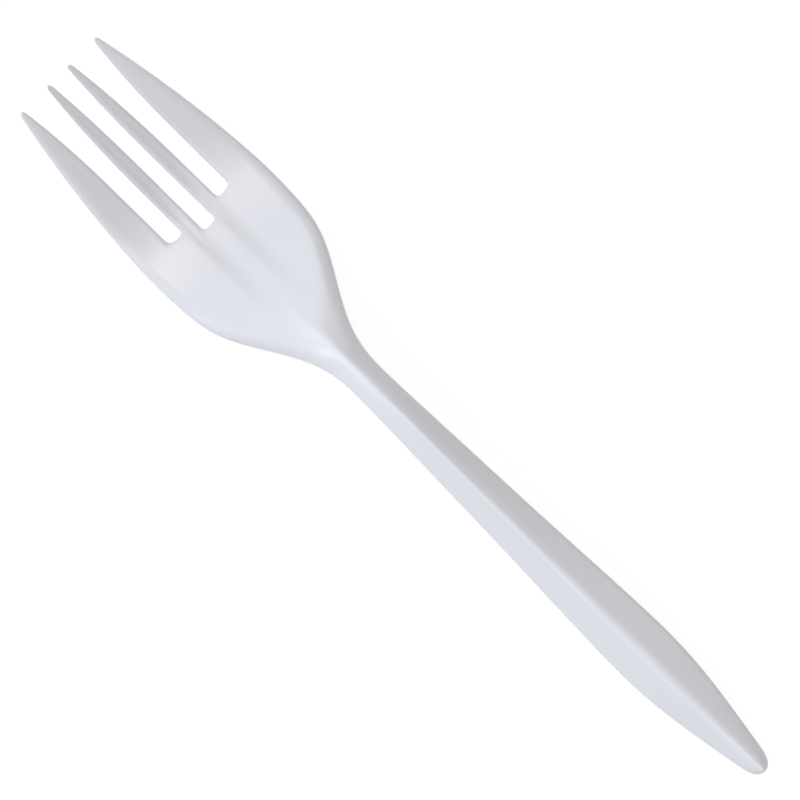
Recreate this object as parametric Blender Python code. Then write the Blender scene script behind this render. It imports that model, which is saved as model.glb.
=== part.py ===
"""A white disposable fork, moulded in one piece.

It lies face up, as on a table: four tines towards +X, a flat head that rests on its underside, and a
roof-shaped handle, hollow underneath, whose far end rests at -X. The origin is on the table, under the
middle of the fork. Lengths are in metres, and s is the distance from the tips of the tines.
"""

from math import hypot

import bmesh
import bpy

# Along the fork, one stretch after another from the tips
FORK_LENGTH = 0.1550
SIDE_SLOT_DEPTH = 0.0311
MIDDLE_SLOT_EXTRA = 0.0021
SLOTS_TO_REST = 0.0005
SLOTS_TO_WIDEST = 0.0008
REST_LENGTH = 0.0041
REST_TO_CHANNEL = 0.0207
REST_TO_NECK = 0.0297
NECK_TO_HANDLE = 0.0125
GRIP_TO_END = 0.0270

# The tines, seen from above
MIDDLE_SLOT_WIDTH = 0.0025
SIDE_SLOT_WIDTH = 0.00267
SLOT_CORNER = 0.0013
SLOT_SLANT = 0.0002
TINE_TAPER = 0.0190
INNER_TINE_WIDTH = 0.0027
INNER_TIP_WIDTH = 0.0008
OUTER_TIP_WIDTH = 0.00078
TIP_ROUNDING = 0.0006
BLUNTEST_TIP = 0.3
INNER_TINE_LEAN = 0.00035
OUTER_TINE_FLARE = 0.00115
FLARE_CURVE = 2.3

# The outline from there on: widths, and curves as (share of the way along, share of the change in width)
HEAD_WIDTH = 0.0256
NECK_WIDTH = 0.0058
GRIP_WIDTH = 0.0102
END_RADIUS = 0.0021
END_BLUNTNESS = 0.00006
TINES_CURVE = 1.7
SHOULDER = ((0, 0), (0.12, 0.008), (0.23, 0.033), (0.34, 0.098), (0.45, 0.256), (0.565, 0.48),
            (0.675, 0.70), (0.79, 0.882), (0.90, 0.977), (1, 1))
HANDLE_TAPER = ((0, 0), (0.13, 0.096), (0.28, 0.24), (0.59, 0.53), (0.75, 0.73), (0.90, 0.92), (1, 1))
END_TAPER = ((0, 0), (0.13, 0.011), (0.27, 0.064), (0.41, 0.15), (0.685, 0.375), (1, 0.665))

# Side view: heights of the rim's upper edge above the table, the slope of the tines past their bend, and the
# handle's slopes against its mean slope
TINE_SLOPE = 0.42
TINE_BEND = 0.0116
HANDLE_HEIGHT = 0.0088
HANDLE_STEEPNESS = 1.05
END_STEEPNESS = 0.38

# The cross-section: how far its middle stands above the rim, and what the tines' dish takes off again
TINE_CROWN = 0.0004
HEAD_CROWN = 0.0008
NECK_CROWN = 0.0035
GRIP_CROWN = 0.0028
END_CROWN = 0.0020
CROWN_RISE = 0.0290
DISH_DEPTH = 0.0014
DISH_LENGTH = 0.0270
DISH_PAST_REST = 0.0072
RIM_ROLL = 0.00015
FLUTE_DEPTH = 0.0003
FLUTE_RUN_OUT = 0.0168

# Each side of the section has two facets that meet at a crease. The inner facets fan out over the head and
# end in a point on the handle's ridge, and the sides of the neck bulge. The crease's place and rounding are
# shares of the half-width, an inner facet's fall is one of the crown, and the bulge is one of the section.
HEAD_CREASE_SHARE = 0.88
NECK_CREASE_SHARE = 0.66
RIDGE_CREASE_SHARE = 0.115
CREASE_RUN = 0.0210
HEAD_FALL_SHARE = 0.08
NECK_FALL_SHARE = 0.55
FALL_RUN = 0.0260
FACET_END_TO_NECK = 0.0037
FACET_END_LENGTH = 0.0056
SHARP_TO_NECK = 0.0095
SHARPENING_LENGTH = 0.0160
HEAD_RIDGE_RADIUS = 0.0020
NECK_RIDGE_RADIUS = 0.0006
GRIP_RIDGE_RADIUS = 0.0012
HEAD_ROUNDING_SHARE = 0.06
NECK_ROUNDING_SHARE = 0.10
NECK_BULGE_SHARE = 0.55
BULGE_RISE = 0.0050
BULGE_FALL = 0.0130

# Walls, measured upright, how far the channel closes at the pointed end as shares of its half-width, and how
# much of the underside is cut level where the fork rests
TIP_WALL = 0.0009
HEAD_WALL = 0.0016
NECK_WALL = 0.0021
HANDLE_WALL = 0.00145
HANDLE_EDGE = 0.0012
CHANNEL_RIM = 0.0009
CHANNEL_DRAFT = 0.0003
NARROWEST_FOOT = 0.3
NARROWEST_ROOF = 0.2
END_WALL = 0.0016
HEAD_REST_CUT = 0.00005
END_REST_CUT = 0.00015

# The places that follow
MIDDLE_SLOT_DEPTH = SIDE_SLOT_DEPTH + MIDDLE_SLOT_EXTRA
WIDEST_AT = MIDDLE_SLOT_DEPTH + SLOTS_TO_WIDEST
REST_FROM = MIDDLE_SLOT_DEPTH + SLOTS_TO_REST
REST_TO = REST_FROM + REST_LENGTH
NECK_AT = REST_TO + REST_TO_NECK
HANDLE_AT = NECK_AT + NECK_TO_HANDLE
GRIP_AT = FORK_LENGTH - GRIP_TO_END

# The lines that the surface is drawn on, counted from the middle: their places across an outer tine, from its
# inside (-1) to its outside (1), and the cross lines' number in each stretch
LINES = 7
OUTER_TINE_LINES = (-1.0, -0.16, 0.52, 1.0)
FLUTE_LINE = 2
TINE_ROWS = 8
REST_ROWS = 3
HEAD_ROWS = 12
HANDLE_ROWS = 7
END_ROWS = 8


def mix(a, b, share):
    return a + (b - a) * share


def ease(s, start, stop):
    """0 before start, 1 after stop, and a smooth step between them."""
    share = min(max((s - start) / (stop - start), 0.0), 1.0)
    return share * share * (3 - 2 * share)


def hermite(s, s0, z0, slope0, s1, z1, slope1):
    """The cubic that leaves (s0, z0) at slope0 and reaches (s1, z1) at slope1."""
    run = s1 - s0
    t = (s - s0) / run
    ends = z0 * (1 + 2 * t) * (1 - t) ** 2 + z1 * t * t * (3 - 2 * t)
    return ends + run * (slope0 * t * (1 - t) ** 2 - slope1 * t * t * (1 - t))


def fair(points, at, last_slope=0.0):
    """A smooth curve that passes through the points and starts level."""
    steps = [(b[1] - a[1]) / (b[0] - a[0]) for a, b in zip(points, points[1:])]
    slopes = [0.0] + [2 * a * b / (a + b) for a, b in zip(steps, steps[1:])] + [last_slope]
    for k, (start, stop) in enumerate(zip(points, points[1:])):
        if at <= stop[0]:
            return hermite(at, *start, slopes[k], *stop, slopes[k + 1])
    return points[-1][1]


def outer_tine_inside(s):
    """Distance of an outer tine's inner edge from the centreline."""
    past_slots = MIDDLE_SLOT_WIDTH / 2 + INNER_TINE_WIDTH + SIDE_SLOT_WIDTH
    return past_slots + OUTER_TINE_FLARE * max(1 - s / TINE_TAPER, 0.0) ** FLARE_CURVE


def half_width(s):
    """Half the fork's width over its outline."""
    head, neck, grip = HEAD_WIDTH / 2, NECK_WIDTH / 2, GRIP_WIDTH / 2
    if s < WIDEST_AT:
        tips = outer_tine_inside(0.0) + OUTER_TIP_WIDTH
        return mix(head, tips, (1 - s / WIDEST_AT) ** TINES_CURVE)
    if s < NECK_AT:
        return mix(head, neck, fair(SHOULDER, (s - WIDEST_AT) / (NECK_AT - WIDEST_AT)))
    if s < GRIP_AT:
        return mix(neck, grip, fair(HANDLE_TAPER, (s - NECK_AT) / (GRIP_AT - NECK_AT)))
    taper = grip * (1 - fair(END_TAPER, (s - GRIP_AT) / GRIP_TO_END, last_slope=1.0))
    left = max(FORK_LENGTH - s, END_BLUNTNESS)
    return min(taper, (left * (2 * END_RADIUS - left)) ** 0.5) if left < END_RADIUS else taper


def lines(s):
    """Distances from the centreline of the lines that the surface is drawn on, from the middle out."""
    if s > WIDEST_AT:
        share = half_width(s) / half_width(WIDEST_AT)
        return [share * y for y in lines(WIDEST_AT)]
    rounding = max(1 - s / TIP_ROUNDING, 0.0)
    blunt = max((1 - rounding ** 2) ** 0.5, BLUNTEST_TIP)
    taper = max(1 - s / TINE_TAPER, 0.0) ** 2
    tine = blunt * mix(INNER_TINE_WIDTH, INNER_TIP_WIDTH, taper) / 2
    lean = INNER_TINE_LEAN * max(1 - s / SIDE_SLOT_DEPTH, 0.0) ** 2
    middle = (MIDDLE_SLOT_WIDTH + INNER_TINE_WIDTH) / 2 - lean
    inside, outside = outer_tine_inside(s), half_width(s)
    centre, half = (outside + inside) / 2, blunt * (outside - inside) / 2
    return [0.0, middle - tine, middle, middle + tine] + [centre + half * place for place in OUTER_TINE_LINES]


def rim_height(s):
    """Height of the rim's upper edge: from the tips down to the head, over the neck and down the handle."""
    low = HEAD_WALL - HEAD_CROWN - HEAD_REST_CUT
    end = HANDLE_EDGE - END_REST_CUT
    slope = (end - HANDLE_HEIGHT) / (FORK_LENGTH - HANDLE_AT)
    top = HANDLE_AT, HANDLE_HEIGHT, HANDLE_STEEPNESS * slope
    if s < REST_TO:
        past_head = max(REST_FROM - s, 0.0)
        bent = min(past_head, TINE_BEND)
        return low + TINE_SLOPE * (bent ** 2 / (2 * TINE_BEND) + past_head - bent)
    if s < HANDLE_AT:
        return hermite(s, REST_TO, low, 0.0, *top)
    return hermite(s, *top, FORK_LENGTH, end, END_STEEPNESS * slope)


def crown(s):
    """How far the middle stands above the rim, the tines' dish aside."""
    if s < REST_FROM:
        return mix(TINE_CROWN, HEAD_CROWN, ease(s, 0.0, REST_FROM))
    if s < NECK_AT:
        return mix(HEAD_CROWN, NECK_CROWN, ease(s, REST_FROM, REST_FROM + CROWN_RISE))
    if s < GRIP_AT:
        return mix(NECK_CROWN, GRIP_CROWN, ease(s, NECK_AT, GRIP_AT))
    return mix(GRIP_CROWN, END_CROWN, ease(s, GRIP_AT, FORK_LENGTH))


def dish(s):
    """How far the middle of the tines and the front of the head is hollowed."""
    end = REST_TO + DISH_PAST_REST
    return DISH_DEPTH * (1 - ease(s, end - DISH_LENGTH, end))


def wall(s):
    """Upright thickness at the middle of the section."""
    if s < REST_FROM:
        return mix(TIP_WALL, HEAD_WALL, ease(s, 0.0, REST_FROM))
    if s < NECK_AT:
        return mix(HEAD_WALL, NECK_WALL, ease(s, REST_TO, NECK_AT))
    return mix(NECK_WALL, HANDLE_WALL, ease(s, NECK_AT, HANDLE_AT))


def facets(s):
    """Share of the half-width where the crease lies, and share of the crown that the inner facet falls."""
    end = NECK_AT - FACET_END_TO_NECK
    past = ease(s, end - FACET_END_LENGTH / 2, end + FACET_END_LENGTH / 2)
    crease = mix(HEAD_CREASE_SHARE, NECK_CREASE_SHARE, ease(s, end - CREASE_RUN, end))
    fall = mix(HEAD_FALL_SHARE, NECK_FALL_SHARE, ease(s, end - FALL_RUN, end))
    return mix(crease, RIDGE_CREASE_SHARE, past), mix(fall, RIDGE_CREASE_SHARE, past)


def section(s, share):
    """Height of the section at this share of the half-width: 1 in the middle and 0 at the rim."""
    crease, fall = facets(s)
    at_head = ease(NECK_AT - s, SHARP_TO_NECK, SHARP_TO_NECK + SHARPENING_LENGTH)
    ridge_radius = mix(NECK_RIDGE_RADIUS, HEAD_RIDGE_RADIUS, at_head)
    ridge_radius += (GRIP_RIDGE_RADIUS - NECK_RIDGE_RADIUS) * ease(s, NECK_AT, GRIP_AT)
    ridge = ridge_radius / half_width(s)
    rounding = mix(NECK_ROUNDING_SHARE, HEAD_ROUNDING_SHARE, at_head)
    inner = fall / crease
    bend = (1 - fall) / (1 - crease) - inner
    bulge = NECK_BULGE_SHARE * ease(s, NECK_AT - BULGE_RISE, NECK_AT)
    bulge *= 1 - ease(s, NECK_AT, NECK_AT + BULGE_FALL)

    def drop(place):
        past = place - crease
        facets_drop = inner * hypot(place, ridge) + bend * (past + hypot(past, rounding)) / 2
        return mix(facets_drop, place ** 2, bulge)

    return (drop(1.0) - drop(share)) / (drop(1.0) - drop(0.0))


def top_height(s, y):
    """The upper surface: a flat head with rolled edges, dished tines, and a roof on the handle."""
    share = min(y / half_width(s), 1.0)
    return rim_height(s) + crown(s) * section(s, share) - dish(s) * (1 - share ** 2)


def stations(start, stop, count, packing=1.0):
    """Places from start towards stop, which is left out. Packing over 1 draws them towards start."""
    return [mix(start, stop, (k / count) ** packing) for k in range(count)]


def rows():
    """Where the cross lines lie: close together at the tips, at the slots' ends and at the handle's end."""
    side_corner, middle_corner = SIDE_SLOT_DEPTH - SLOT_CORNER, MIDDLE_SLOT_DEPTH - SLOT_CORNER
    tines = stations(0.0, TIP_ROUNDING, 2) + stations(TIP_ROUNDING, side_corner, TINE_ROWS, packing=1.6)
    slots = [side_corner, SIDE_SLOT_DEPTH, middle_corner, MIDDLE_SLOT_DEPTH]
    head = stations(REST_FROM, REST_TO, REST_ROWS) + stations(REST_TO, NECK_AT, HEAD_ROWS)
    handle = stations(NECK_AT, GRIP_AT, HANDLE_ROWS, packing=1.3)
    end = stations(FORK_LENGTH, GRIP_AT, END_ROWS, packing=2.0) + [GRIP_AT]
    return sorted(tines + slots + head + handle + end)


def slot_slant(line, s):
    """The side slots end deeper beside the inner tines than beside the outer ones."""
    return {3: SLOT_SLANT, 4: -SLOT_SLANT}.get(line, 0.0) if s == SIDE_SLOT_DEPTH else 0.0


def place_top(line, s):
    """Place and height of the upper surface on this line, at s."""
    y = lines(s)[line]
    z = top_height(s, y)
    if line == LINES:
        z -= RIM_ROLL
    if line == FLUTE_LINE:
        z -= FLUTE_DEPTH * (1 - ease(s, MIDDLE_SLOT_DEPTH, MIDDLE_SLOT_DEPTH + FLUTE_RUN_OUT))
    return y, z


def channel_lines(s):
    """The lines under the hollow handle: those of the channel drawn together, and a rim along either edge."""
    *channel, _, edge = lines(s)
    foot = max(edge - CHANNEL_RIM, NARROWEST_FOOT * edge)
    roof = max(foot - CHANNEL_DRAFT, NARROWEST_ROOF * edge)
    return [y * roof / channel[-1] for y in channel] + [foot, edge]


def place_underside(line, s):
    """Place and height of the underside on this line, at s. It is solid at the handle's very end."""
    hollow = ease(s, REST_TO + REST_TO_CHANNEL, HANDLE_AT)
    y = mix(lines(s)[line], channel_lines(s)[line], hollow)
    rim = rim_height(s) - mix(wall(s) - HEAD_CROWN, HANDLE_EDGE, hollow)
    under_roof = top_height(s, y) - wall(s)
    if line == LINES:
        return y, max(rim, 0.0)
    if line == LINES - 1:
        return y, max(mix(under_roof, rim, hollow), 0.0)
    solid_end = ease(s, FORK_LENGTH - 2 * END_WALL, FORK_LENGTH - END_WALL)
    return y, max(mix(under_roof, rim, solid_end), 0.0)


def put(vertex, line, s, place):
    """Moves a point of the grid to its place on this line, on the side of the fork that it is on."""
    s += slot_slant(abs(line), s)
    y, z = place(abs(line), s)
    vertex.co = FORK_LENGTH / 2 - s, y if line > 0 else -y, z


def in_slot(face_lines, s):
    """Whether the face between these two lines, just past s, lies in a slot."""
    between = {abs(line) for line in face_lines}
    return between == {0, 1} and s < MIDDLE_SLOT_DEPTH or between == {3, 4} and s < SIDE_SLOT_DEPTH


def fork_mesh():
    """A flat grid with the slots cut out is thickened, and then each of its points is put in its place."""
    places = rows()
    mesh = bmesh.new()
    row = mesh.verts.layers.int.new("row")
    line = mesh.verts.layers.int.new("line")
    bmesh.ops.create_grid(mesh, x_segments=len(places) - 1, y_segments=2 * LINES, size=1.0)
    for vertex in mesh.verts:
        vertex[row] = round((vertex.co.x + 1) / 2 * (len(places) - 1))
        vertex[line] = round(vertex.co.y * LINES)
    slots = [face for face in mesh.faces
             if in_slot([v[line] for v in face.verts], places[min(v[row] for v in face.verts)])]
    bmesh.ops.delete(mesh, geom=slots, context="FACES")
    upper = list(mesh.verts)
    under = bmesh.ops.extrude_face_region(mesh, geom=mesh.faces[:], use_keep_orig=True)["geom"]
    for vertex in upper:
        put(vertex, vertex[line], places[vertex[row]], place_top)
    for vertex in under:
        if isinstance(vertex, bmesh.types.BMVert):
            put(vertex, vertex[line], places[vertex[row]], place_underside)
    bmesh.ops.recalc_face_normals(mesh, faces=mesh.faces)
    data = bpy.data.meshes.new("fork")
    mesh.to_mesh(data)
    mesh.free()
    data.shade_smooth()
    return data


def white_plastic():
    material = bpy.data.materials.new("white_plastic")
    material.use_nodes = True
    shader = material.node_tree.nodes["Principled BSDF"]
    shader.inputs["Base Color"].default_value = (0.82, 0.84, 0.87, 1.0)
    shader.inputs["Roughness"].default_value = 0.38
    return material


def main():
    for old in list(bpy.data.objects):
        bpy.data.objects.remove(old)
    fork = bpy.data.objects.new("fork", fork_mesh())
    fork.data.materials.append(white_plastic())
    rounding = fork.modifiers.new("rounding", "SUBSURF")
    rounding.levels = 1
    rounding.render_levels = 1
    bpy.context.scene.collection.objects.link(fork)


main()
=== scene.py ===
"""A white disposable fork that lies face up on a pale floor, seen from straight above."""

from math import cos, hypot, pi, radians, sin

import bmesh
import bpy
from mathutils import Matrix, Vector


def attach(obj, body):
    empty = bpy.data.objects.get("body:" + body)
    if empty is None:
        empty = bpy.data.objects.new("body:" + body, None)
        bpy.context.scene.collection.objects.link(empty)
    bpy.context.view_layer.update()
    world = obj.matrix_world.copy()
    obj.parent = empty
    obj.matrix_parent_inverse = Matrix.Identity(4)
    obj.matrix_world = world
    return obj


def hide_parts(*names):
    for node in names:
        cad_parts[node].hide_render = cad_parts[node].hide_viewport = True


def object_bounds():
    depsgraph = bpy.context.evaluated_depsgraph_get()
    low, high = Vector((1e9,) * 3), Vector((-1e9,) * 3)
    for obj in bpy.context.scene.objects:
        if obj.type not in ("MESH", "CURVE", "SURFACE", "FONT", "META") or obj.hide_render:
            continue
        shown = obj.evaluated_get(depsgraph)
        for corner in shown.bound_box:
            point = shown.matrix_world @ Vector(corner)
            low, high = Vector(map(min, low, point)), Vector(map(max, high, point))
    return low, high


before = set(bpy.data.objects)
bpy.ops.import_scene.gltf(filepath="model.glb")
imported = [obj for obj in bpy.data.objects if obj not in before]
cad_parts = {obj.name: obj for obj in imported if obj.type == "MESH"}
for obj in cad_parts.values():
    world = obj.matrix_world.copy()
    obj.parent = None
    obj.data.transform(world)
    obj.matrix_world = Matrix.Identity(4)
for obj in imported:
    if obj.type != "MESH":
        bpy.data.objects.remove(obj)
cad_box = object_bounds()


# The fork is one piece of white polypropylene, injection-moulded in one shot. Its upper side and its
# underside are the two halves of the mould. Both are drawn on lines along the fork, and s is the distance
# from the tips. All sizes are in metres.
fork_length = 0.1550
side_slot_depth = 0.0311
middle_slot_depth = side_slot_depth + 0.0021
widest_at = middle_slot_depth + 0.0008
rest_from = middle_slot_depth + 0.0005
rest_to = rest_from + 0.0041
channel_from = rest_to + 0.0207
neck_at = rest_to + 0.0297
handle_at = neck_at + 0.0125
grip_at = fork_length - 0.0270


def mix(a, b, share):
    return a + (b - a) * share


def ease(s, start, stop):
    """0 before start, 1 after stop, and a smooth step between them."""
    share = min(max((s - start) / (stop - start), 0.0), 1.0)
    return share * share * (3 - 2 * share)


def hermite(s, s0, z0, slope0, s1, z1, slope1):
    """The cubic that leaves (s0, z0) at slope0 and reaches (s1, z1) at slope1."""
    run = s1 - s0
    t = (s - s0) / run
    ends = z0 * (1 + 2 * t) * (1 - t) ** 2 + z1 * t * t * (3 - 2 * t)
    return ends + run * (slope0 * t * (1 - t) ** 2 - slope1 * t * t * (1 - t))


def fair(points, at, last_slope=0.0):
    """A smooth curve that passes through the points and starts level."""
    steps = [(b[1] - a[1]) / (b[0] - a[0]) for a, b in zip(points, points[1:])]
    slopes = [0.0] + [2 * a * b / (a + b) for a, b in zip(steps, steps[1:])] + [last_slope]
    for k, (start, stop) in enumerate(zip(points, points[1:])):
        if at <= stop[0]:
            return hermite(at, *start, slopes[k], *stop, slopes[k + 1])
    return points[-1][1]


# Its outline from above: four tines with round tips, the head, the narrow neck and the leaf-shaped handle.
middle_slot_width = 0.0025
side_slot_width = 0.00267
slot_corner = 0.0013
slot_slant = 0.0002
inner_tine_width, inner_tip_width = 0.0027, 0.0008
inner_tine_lean = 0.00035
outer_tip_width = 0.00078
outer_tine_flare, flare_curve = 0.00115, 2.3
tine_taper = 0.0190
tip_rounding = 0.0006
bluntest_tip = 0.3
head_half, neck_half, grip_half = 0.0128, 0.0029, 0.0051
tines_curve = 1.7
end_radius, end_bluntness = 0.0021, 0.00006
shoulder = ((0, 0), (0.12, 0.008), (0.23, 0.033), (0.34, 0.098), (0.45, 0.256), (0.565, 0.48),
            (0.675, 0.70), (0.79, 0.882), (0.90, 0.977), (1, 1))
handle_taper = ((0, 0), (0.13, 0.096), (0.28, 0.24), (0.59, 0.53), (0.75, 0.73), (0.90, 0.92), (1, 1))
end_taper = ((0, 0), (0.13, 0.011), (0.27, 0.064), (0.41, 0.15), (0.685, 0.375), (1, 0.665))
outer_tine_lines = (-1.0, -0.16, 0.52, 1.0)
rim_line, flute_line = 7, 2


def outer_tine_inside(s):
    """Distance of an outer tine's inner edge from the centreline."""
    past_slots = middle_slot_width / 2 + inner_tine_width + side_slot_width
    return past_slots + outer_tine_flare * max(1 - s / tine_taper, 0.0) ** flare_curve


def half_width(s):
    """Half the fork's width over its outline."""
    if s < widest_at:
        return mix(head_half, outer_tine_inside(0.0) + outer_tip_width, (1 - s / widest_at) ** tines_curve)
    if s < neck_at:
        return mix(head_half, neck_half, fair(shoulder, (s - widest_at) / (neck_at - widest_at)))
    if s < grip_at:
        return mix(neck_half, grip_half, fair(handle_taper, (s - neck_at) / (grip_at - neck_at)))
    taper = grip_half * (1 - fair(end_taper, (s - grip_at) / (fork_length - grip_at), last_slope=1.0))
    left = max(fork_length - s, end_bluntness)
    return min(taper, (left * (2 * end_radius - left)) ** 0.5) if left < end_radius else taper


def lines(s):
    """Distances from the centreline of the lines that the surface is drawn on, from the middle out."""
    if s > widest_at:
        share = half_width(s) / half_width(widest_at)
        return [share * y for y in lines(widest_at)]
    rounding = max(1 - s / tip_rounding, 0.0)
    blunt = max((1 - rounding ** 2) ** 0.5, bluntest_tip)
    tine = blunt * mix(inner_tine_width, inner_tip_width, max(1 - s / tine_taper, 0.0) ** 2) / 2
    lean = inner_tine_lean * max(1 - s / side_slot_depth, 0.0) ** 2
    middle = (middle_slot_width + inner_tine_width) / 2 - lean
    inside, outside = outer_tine_inside(s), half_width(s)
    centre, half = (outside + inside) / 2, blunt * (outside - inside) / 2
    outer_tine = [centre + half * place for place in outer_tine_lines]
    return [0.0, middle - tine, middle, middle + tine] + outer_tine


# Its side view: the tines bend up to a straight slope, the head lies level, and the handle arches over the
# table.
tine_slope, tine_bend = 0.42, 0.0116
head_crown = 0.0008
head_wall = 0.0016
handle_edge = 0.0012
handle_height, handle_steepness, end_steepness = 0.0088, 1.05, 0.38
head_rest_cut, end_rest_cut = 0.00005, 0.00015


def rim_height(s):
    """Height of the rim's upper edge: from the tips down to the head, over the neck and down the handle."""
    low = head_wall - head_crown - head_rest_cut
    end = handle_edge - end_rest_cut
    slope = (end - handle_height) / (fork_length - handle_at)
    top = handle_at, handle_height, handle_steepness * slope
    if s < rest_to:
        past_head = max(rest_from - s, 0.0)
        bent = min(past_head, tine_bend)
        return low + tine_slope * (bent ** 2 / (2 * tine_bend) + past_head - bent)
    if s < handle_at:
        return hermite(s, rest_to, low, 0.0, *top)
    return hermite(s, *top, fork_length, end, end_steepness * slope)


# Its cross-section: two facets a side that meet at a soft crease. In the head the inner facets are nearly
# flat and the outer ones are its rolled edge. The inner ones end in a point on the ridge, and the outer
# ones go on as the handle's roof.
tine_crown, neck_crown, grip_crown, end_crown = 0.0004, 0.0035, 0.0028, 0.0020
crown_rise = 0.0290
neck_bulge, bulge_from, bulge_length = 0.55, neck_at - 0.0050, 0.0130
dish_depth, dish_length, dish_end = 0.0014, 0.0270, rest_to + 0.0072
head_crease, neck_crease, ridge_crease = 0.88, 0.66, 0.115
head_fall, neck_fall = 0.08, 0.55
facet_end = neck_at - 0.0037
facet_end_length, crease_run, fall_run = 0.0056, 0.0210, 0.0260
sharp_to_neck, sharpening_length = 0.0095, 0.0160
head_ridge_radius, neck_ridge_radius, grip_ridge_radius = 0.0020, 0.0006, 0.0012
head_crease_rounding, neck_crease_rounding = 0.06, 0.10


def crown(s):
    """How far the middle stands above the rim, the tines' dish aside."""
    if s < rest_from:
        return mix(tine_crown, head_crown, ease(s, 0.0, rest_from))
    if s < neck_at:
        return mix(head_crown, neck_crown, ease(s, rest_from, rest_from + crown_rise))
    if s < grip_at:
        return mix(neck_crown, grip_crown, ease(s, neck_at, grip_at))
    return mix(grip_crown, end_crown, ease(s, grip_at, fork_length))


def dish(s):
    """How far the middle of the tines and the front of the head is hollowed."""
    return dish_depth * (1 - ease(s, dish_end - dish_length, dish_end))


def facets(s):
    """Share of the half-width where the crease lies, and share of the crown that the inner facet falls."""
    past = ease(s, facet_end - facet_end_length / 2, facet_end + facet_end_length / 2)
    crease = mix(head_crease, neck_crease, ease(s, facet_end - crease_run, facet_end))
    fall = mix(head_fall, neck_fall, ease(s, facet_end - fall_run, facet_end))
    return mix(crease, ridge_crease, past), mix(fall, ridge_crease, past)


def section(s, share):
    """Height of the section at this share of the half-width: 1 in the middle and 0 at the rim.

    Over the neck it swells a little towards a plain round arch.
    """
    crease, fall = facets(s)
    at_head = ease(neck_at - s, sharp_to_neck, sharp_to_neck + sharpening_length)
    ridge_radius = mix(neck_ridge_radius, head_ridge_radius, at_head)
    ridge_radius += (grip_ridge_radius - neck_ridge_radius) * ease(s, neck_at, grip_at)
    ridge = ridge_radius / half_width(s)
    rounding = mix(neck_crease_rounding, head_crease_rounding, at_head)
    inner = fall / crease
    bend = (1 - fall) / (1 - crease) - inner
    bulge = neck_bulge * ease(s, bulge_from, neck_at) * (1 - ease(s, neck_at, neck_at + bulge_length))

    def drop(place):
        past = place - crease
        facets_drop = inner * hypot(place, ridge) + bend * (past + hypot(past, rounding)) / 2
        return mix(facets_drop, place ** 2, bulge)

    return (drop(1.0) - drop(share)) / (drop(1.0) - drop(0.0))


def top_height(s, y):
    """The upper surface without its flutes."""
    share = min(y / half_width(s), 1.0)
    return rim_height(s) + crown(s) * section(s, share) - dish(s) * (1 - share ** 2)


rim_roll = 0.00015
flute_cut = 0.0003
flute_run_out = 0.0168


def flute_fade(s):
    """The flutes run along the inner tines and fade out over the head."""
    return 1 - ease(s, middle_slot_depth, middle_slot_depth + flute_run_out)


def place_top(line, s):
    """Place and height of the upper surface on this line, at s."""
    y = lines(s)[line]
    z = top_height(s, y)
    if line == rim_line:
        z -= rim_roll
    if line == flute_line:
        z -= flute_cut * flute_fade(s)
    return y, z


# Its underside: walls of even thickness in the head, and a channel with a rim along either edge under the
# handle.
tip_wall, neck_wall, handle_wall = 0.0009, 0.0021, 0.00145
channel_rim, channel_draft = 0.0009, 0.0003
narrowest_foot, narrowest_roof = 0.3, 0.2
end_wall = 0.0016


def wall(s):
    """Upright thickness at the middle of the section."""
    if s < rest_from:
        return mix(tip_wall, head_wall, ease(s, 0.0, rest_from))
    if s < neck_at:
        return mix(head_wall, neck_wall, ease(s, rest_to, neck_at))
    return mix(neck_wall, handle_wall, ease(s, neck_at, handle_at))


def channel_lines(s):
    """The lines under the hollow handle: the channel's drawn together, and a rim along either edge."""
    *channel, _, edge = lines(s)
    foot = max(edge - channel_rim, narrowest_foot * edge)
    roof = max(foot - channel_draft, narrowest_roof * edge)
    return [y * roof / channel[-1] for y in channel] + [foot, edge]


def place_underside(line, s):
    """Place and height of the underside on this line, at s. It is solid at the handle's very end."""
    hollow = ease(s, channel_from, handle_at)
    y = mix(lines(s)[line], channel_lines(s)[line], hollow)
    rim = rim_height(s) - mix(wall(s) - head_crown, handle_edge, hollow)
    under_roof = top_height(s, y) - wall(s)
    if line == rim_line:
        return y, max(rim, 0.0)
    if line == rim_line - 1:
        return y, max(mix(under_roof, rim, hollow), 0.0)
    solid_end = ease(s, fork_length - 2 * end_wall, fork_length - end_wall)
    return y, max(mix(under_roof, rim, solid_end), 0.0)


# The mesh: a grid with the slots cut out is thickened, and then each of its points is put in its place. Its
# rows draw together towards the tips, the neck and the end of the handle.
tip_rows, tine_rows, rest_rows, head_rows, handle_rows, end_rows = 2, 8, 3, 12, 7, 8
tine_packing, handle_packing, end_packing = 1.6, 1.3, 2.0
middle_slot_lines, side_slot_lines = (0, 1), (3, 4)
subdivisions = 3


def stations(start, stop, count, packing=1.0):
    """Places from start towards stop, which is left out. Packing over 1 draws them towards start."""
    return [mix(start, stop, (k / count) ** packing) for k in range(count)]


places = sorted(
    stations(0.0, tip_rounding, tip_rows)
    + stations(tip_rounding, side_slot_depth - slot_corner, tine_rows, tine_packing)
    + [side_slot_depth - slot_corner, side_slot_depth, middle_slot_depth - slot_corner, middle_slot_depth]
    + stations(rest_from, rest_to, rest_rows)
    + stations(rest_to, neck_at, head_rows)
    + stations(neck_at, grip_at, handle_rows, handle_packing)
    + stations(fork_length, grip_at, end_rows, end_packing)
    + [grip_at]
)
cage = bmesh.new()
row = cage.verts.layers.int.new("row")
line = cage.verts.layers.int.new("line")
bmesh.ops.create_grid(cage, x_segments=len(places) - 1, y_segments=2 * rim_line, size=1.0)
for vertex in cage.verts:
    vertex[row] = round((vertex.co.x + 1) / 2 * (len(places) - 1))
    vertex[line] = round(vertex.co.y * rim_line)


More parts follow.
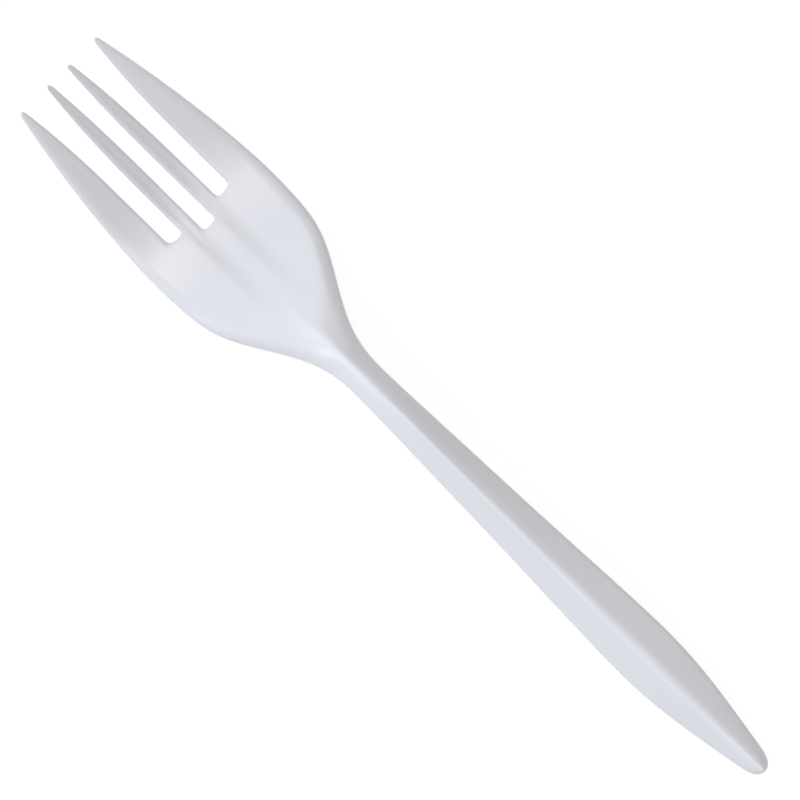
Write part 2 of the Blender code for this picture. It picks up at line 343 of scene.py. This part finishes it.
def in_slot(face):
    """Whether the face lies between the two sides of a slot, short of its end."""
    between = tuple(sorted({abs(v[line]) for v in face.verts}))
    s = places[min(v[row] for v in face.verts)]
    if between == middle_slot_lines:
        return s < middle_slot_depth
    return between == side_slot_lines and s < side_slot_depth


bmesh.ops.delete(cage, geom=[face for face in cage.faces if in_slot(face)], context="FACES")
upper_points = list(cage.verts)
thickened = bmesh.ops.extrude_face_region(cage, geom=cage.faces[:], use_keep_orig=True)["geom"]
under_points = [v for v in thickened if isinstance(v, bmesh.types.BMVert)]
# The side slots end deeper beside the inner tines than beside the outer ones.
slants = dict(zip(side_slot_lines, (slot_slant, -slot_slant)))
for points, place in ((upper_points, place_top), (under_points, place_underside)):
    for point in points:
        s, number = places[point[row]], abs(point[line])
        if s == side_slot_depth:
            s += slants.get(number, 0.0)
        y, z = place(number, s)
        point.co = fork_length / 2 - s, y if point[line] > 0 else -y, z
bmesh.ops.recalc_face_normals(cage, faces=cage.faces)
cage_data = bpy.data.meshes.new("cage")
cage.to_mesh(cage_data)
cage.free()
fork = bpy.data.objects.new("moulded_fork", cage_data)
bpy.context.scene.collection.objects.link(fork)
rounding = fork.modifiers.new("rounding", "SUBSURF")
rounding.levels = rounding.render_levels = subdivisions
fork_data = bpy.data.meshes.new_from_object(fork.evaluated_get(bpy.context.evaluated_depsgraph_get()))
fork.modifiers.clear()
fork.data = fork_data
fork_data.name = "moulded_fork"
fork_data.shade_smooth()

# The subdivision has rounded the edges as the mould does, but the creases and flutes too. So the upper
# skin, inside a band along its edges, is set back on the true surface.
flute_depth, flute_half, flute_margin = 0.00010, 0.0012, 0.00015
edge_band, edge_blend = 0.0002, 0.0006
faces_up = 0.2


def fluted_height(s, y):
    """The upper surface with a shallow round flute along the middle of each inner tine."""
    _, inside, middle, outside = lines(min(s, side_slot_depth))[:4]
    half = min(flute_half, (outside - inside) / 2 - flute_margin)
    across = abs(y - middle) / half if half > 0 else 1.0
    return top_height(s, y) - flute_depth * flute_fade(s) * (1 + cos(pi * min(across, 1.0))) / 2


def edge_distance(s, y):
    """How far this place is from the nearest edge: the outline or a slot."""
    _, slot_side, _, side_slot_from, side_slot_to, *_, outline = lines(s)
    from_middle_slot = hypot(max(s - middle_slot_depth, 0.0), max(y - slot_side, 0.0))
    from_side_slot = hypot(max(s - side_slot_depth, 0.0), max(side_slot_from - y, y - side_slot_to, 0.0))
    return min(outline - y, from_middle_slot, from_side_slot)


upper_skin = [vertex for vertex in fork_data.vertices if vertex.normal.z > faces_up]
for vertex in upper_skin:
    s, y = fork_length / 2 - vertex.co.x, abs(vertex.co.y)
    if tip_rounding < s < fork_length - end_radius:
        inside = ease(edge_distance(s, y), edge_band, edge_band + edge_blend)
        vertex.co.z = mix(vertex.co.z, fluted_height(s, y), inside)
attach(fork, "root")
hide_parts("fork")


# Its plastic is milky and cool in tint, with a satin gloss. The melt ran from the handle into the tines and
# left faint clouds and lengthwise lines. Along the inner tines and on into the head, a grey band of painted
# shade stands in for the thin walls letting light through. A few specks of burnt plastic lie in it.
class Signal:
    """A socket's value in a material. The signs of arithmetic on it add Math nodes."""

    def __init__(self, finish, socket):
        self.finish = finish
        self.socket = socket

    def math(self, operation, *values):
        return self.finish.node("ShaderNodeMath", {"operation": operation}, dict(enumerate(values)))

    def __add__(self, other):
        return self.math("ADD", self, other)

    def __sub__(self, other):
        return self.math("SUBTRACT", self, other)

    def __rsub__(self, other):
        return self.math("SUBTRACT", other, self)

    def __mul__(self, other):
        return self.math("MULTIPLY", self, other)

    def __abs__(self):
        return self.math("ABSOLUTE", self)

    __radd__ = __add__
    __rmul__ = __mul__


class Finish:
    """The nodes of one material, or of the world."""

    def __init__(self, owner):
        owner.use_nodes = True
        self.tree = owner.node_tree

    def node(self, kind, settings, sockets, output=0):
        """Adds a node, makes its settings, and gives its sockets their values or links."""
        node = self.tree.nodes.new(kind)
        for name, setting in settings.items():
            setattr(node, name, setting)
        self.feed(node, sockets)
        return Signal(self, node.outputs[output])

    def feed(self, node, sockets):
        for name, value in sockets.items():
            if isinstance(value, Signal):
                self.tree.links.new(value.socket, node.inputs[name])
            else:
                node.inputs[name].default_value = value

    def noise(self, place, per_metre, stretch=(1.0, 1.0, 1.0), detail=2.0):
        """Noise from 0 to 1 that is drawn out along the axes whose stretch is under 1."""
        stretched = self.node("ShaderNodeVectorMath", {"operation": "MULTIPLY"}, {0: place, 1: stretch})
        sockets = {"Vector": stretched, "Scale": per_metre, "Detail": detail}
        return self.node("ShaderNodeTexNoise", {}, sockets)

    def ramp(self, value, start, stop, low=0.0, high=1.0):
        """A smooth step from low at start to high at stop."""
        sockets = {"Value": value, "From Min": start, "From Max": stop, "To Min": low, "To Max": high}
        return self.node("ShaderNodeMapRange", {"interpolation_type": "SMOOTHSTEP"}, sockets)

    def blend(self, share, first, second):
        """A colour between two others."""
        colours = {0: share, 6: first, 7: second}
        return self.node("ShaderNodeMix", {"data_type": "RGBA"}, colours, output=2)


white_plastic = bpy.data.materials.new("white_plastic")
finish = Finish(white_plastic)
place = finish.node("ShaderNodeTexCoord", {}, {}, output="Object")

fresh_white, cloud_white = (0.802, 0.824, 0.862, 1.0), (0.785, 0.812, 0.856, 1.0)
clouds_per_metre, cloud_stretch, cloud_detail = 180.0, (0.35, 1.0, 1.0), 3.0
cloud_from, cloud_to, cloud_share = 0.35, 0.65, 0.6
clouds = finish.noise(place, clouds_per_metre, cloud_stretch, cloud_detail)
clouds = finish.ramp(clouds, cloud_from, cloud_to)
tint = finish.blend(clouds * cloud_share, fresh_white, cloud_white)

# Painted shade: a grey band down the middle of each inner tine and its flute, fading out over the head.
painted_shade_grey, painted_shade_share = (0.705, 0.722, 0.750, 1.0), 0.95
shade_line_at, shade_half_width = (middle_slot_width + inner_tine_width) / 2, 0.0021
shade_fades_at, shade_full_at = fork_length / 2 - 0.0560, fork_length / 2 - 0.0350
along = finish.node("ShaderNodeSeparateXYZ", {}, {"Vector": place}, output="X")
across = finish.node("ShaderNodeSeparateXYZ", {}, {"Vector": place}, output="Y")
painted_tine_shade = finish.ramp(abs(abs(across) - shade_line_at), 0.0, shade_half_width, 1.0, 0.0)
painted_tine_shade = painted_tine_shade * finish.ramp(along, shade_fades_at, shade_full_at)
tint = finish.blend(painted_tine_shade * painted_shade_share, tint, painted_shade_grey)

speck_grey, speck_share = (0.42, 0.40, 0.37, 1.0), 0.8
cells_per_metre, speck_from, speck_to = 85.0, 0.010, 0.022
clean_cells, cell_step = 0.78, 0.01
cells = {"Vector": place, "Scale": cells_per_metre}
from_middle = finish.node("ShaderNodeTexVoronoi", {}, cells, output="Distance")
lot = finish.node("ShaderNodeTexVoronoi", {}, cells, output="Color")
lot = finish.node("ShaderNodeSeparateXYZ", {}, {"Vector": lot}, output="X")
speck = finish.ramp(from_middle, speck_from, speck_to, 1.0, 0.0)
speck = speck * finish.ramp(lot, clean_cells, clean_cells + cell_step)
tint = finish.blend(speck * speck_share, tint, speck_grey)

lines_per_metre, line_stretch, line_detail = 2600.0, (0.02, 1.0, 1.0), 1.0
grains_per_metre, line_share = 5200.0, 0.6
relief_strength, relief_depth = 0.05, 0.00002
drag_lines = finish.noise(place, lines_per_metre, line_stretch, line_detail)
grain = finish.noise(place, grains_per_metre)
relief = drag_lines * line_share + grain * (1 - line_share)
relief = {"Strength": relief_strength, "Distance": relief_depth, "Height": relief}

glossiest, dullest = 0.30, 0.36
gloss_from, gloss_to = 0.2, 0.8
satin = finish.ramp((clouds + drag_lines) * 0.5, gloss_from, gloss_to, glossiest, dullest)
plastic = {"Base Color": tint, "Roughness": satin, "Normal": finish.node("ShaderNodeBump", {}, relief)}
finish.feed(white_plastic.node_tree.nodes["Principled BSDF"], plastic)
fork_data.materials.append(white_plastic)


# The floor: a plain sheet of dull white paper. The camera sees it as white, with only the fork's faint
# shadow on it.
floor_half, floor_gap = 3.0, 0.0001
floor_mesh = bmesh.new()
bmesh.ops.create_grid(floor_mesh, x_segments=1, y_segments=1, size=floor_half)
bmesh.ops.translate(floor_mesh, verts=floor_mesh.verts, vec=(0, 0, cad_box[0].z - floor_gap))
floor_data = bpy.data.meshes.new("floor")
floor_mesh.to_mesh(floor_data)
floor_mesh.free()
floor = bpy.data.objects.new("floor", floor_data)
bpy.context.scene.collection.objects.link(floor)


def seen_directly(finish):
    """1 for what the camera sees, also in gloss and through glass, and 0 for the light that things cast."""
    kinds = ("Is Camera Ray", "Is Glossy Ray", "Is Transmission Ray")
    camera, gloss, glass = (finish.node("ShaderNodeLightPath", {}, {}, output=kind) for kind in kinds)
    return camera + gloss + glass


plain_white = 1.0, 1.0, 1.0, 1.0
paper_white = 0.80, 0.80, 0.80, 1.0
shadow_grey = 0.15, 0.15, 0.15, 1.0
paper_glow = 0.90
white_paper = bpy.data.materials.new("white_paper")
finish = Finish(white_paper)
sheet = white_paper.node_tree.nodes["Principled BSDF"]
finish.feed(sheet, {"Base Color": paper_white, "Roughness": 1.0, "Specular IOR Level": 0.0})
shaded = finish.node("ShaderNodeBsdfDiffuse", {}, {"Color": shadow_grey})
glow = finish.node("ShaderNodeEmission", {}, {"Color": plain_white, "Strength": paper_glow})
shown = finish.node("ShaderNodeAddShader", {}, {0: shaded, 1: glow})
paper = {0: seen_directly(finish), 1: Signal(finish, sheet.outputs[0]), 2: shown}
paper = finish.node("ShaderNodeMixShader", {}, paper)
finish.feed(white_paper.node_tree.nodes["Material Output"], {"Surface": paper})
floor_data.materials.append(white_paper)


# Soft studio light: square panels around the fork, and an even white room. Left and right are the fork's own,
# seen towards its tines, and the low panel on its left gives the streak of gloss on the neck.
panel_distance = 2.6


def lamp(name, azimuth, zenith, size, power, colour):
    """A square panel that faces the fork, turned from +X to +Y by its azimuth, at this angle from upright."""
    across, up = sin(radians(zenith)), cos(radians(zenith))
    light = bpy.data.lights.new(name, "AREA")
    light.size = size
    light.energy = power
    light.color = colour
    panel = bpy.data.objects.new(name, light)
    panel.location = across * cos(radians(azimuth)), across * sin(radians(azimuth)), up
    panel.location *= panel_distance
    panel.rotation_euler = (-panel.location).to_track_quat("-Z", "Y").to_euler()
    bpy.context.scene.collection.objects.link(panel)


lamp("overhead_panel", 0, 0, 1.0, 18.4, (1.00, 0.92, 0.87))
lamp("tine_side_panel", 28, 66, 1.5, 27.2, (0.79, 0.88, 1.00))
lamp("left_panel", 120, 40, 1.0, 12.3, (0.92, 0.94, 1.00))
lamp("low_left_panel", 68, 70, 0.3, 6.0, (1.00, 1.00, 1.00))
lamp("front_right_panel", 330, 40, 1.0, 7.1, (0.94, 0.88, 1.00))
lamp("right_panel", 270, 74, 1.0, 3.8, (1.00, 0.87, 0.74))
room_light, wall_white = 0.215, 1.0
room = bpy.data.worlds.new("room")
bpy.context.scene.world = room
finish = Finish(room)
air = room.node_tree.nodes["Background"]
finish.feed(air, {"Color": plain_white, "Strength": room_light})
walls = finish.node("ShaderNodeBackground", {}, {"Color": plain_white, "Strength": wall_white})
around = {0: seen_directly(finish), 1: Signal(finish, air.outputs[0]), 2: walls}
around = finish.node("ShaderNodeMixShader", {}, around)
finish.feed(room.node_tree.nodes["World Output"], {"Surface": around})


# The camera looks straight down on the fork, from far away so that near and far parts look the same size. It
# is turned so that the tines point to the picture's upper left.
camera_distance, camera_turn = 4.0, -135.452
seen_width = 0.125
looks_at = Vector((0.00393, -0.00135, 0.006))
camera_data = bpy.data.cameras.new("camera")
camera_data.sensor_width = 36.0
camera_data.lens = camera_data.sensor_width * camera_distance / seen_width
camera_data.clip_end = 100.0
camera = bpy.data.objects.new("camera", camera_data)
camera.location = looks_at + Vector((0, 0, camera_distance))
camera.rotation_euler = 0, 0, radians(camera_turn)
bpy.context.scene.collection.objects.link(camera)
bpy.context.scene.camera = camera
bpy.context.scene.view_settings.view_transform = "Standard"
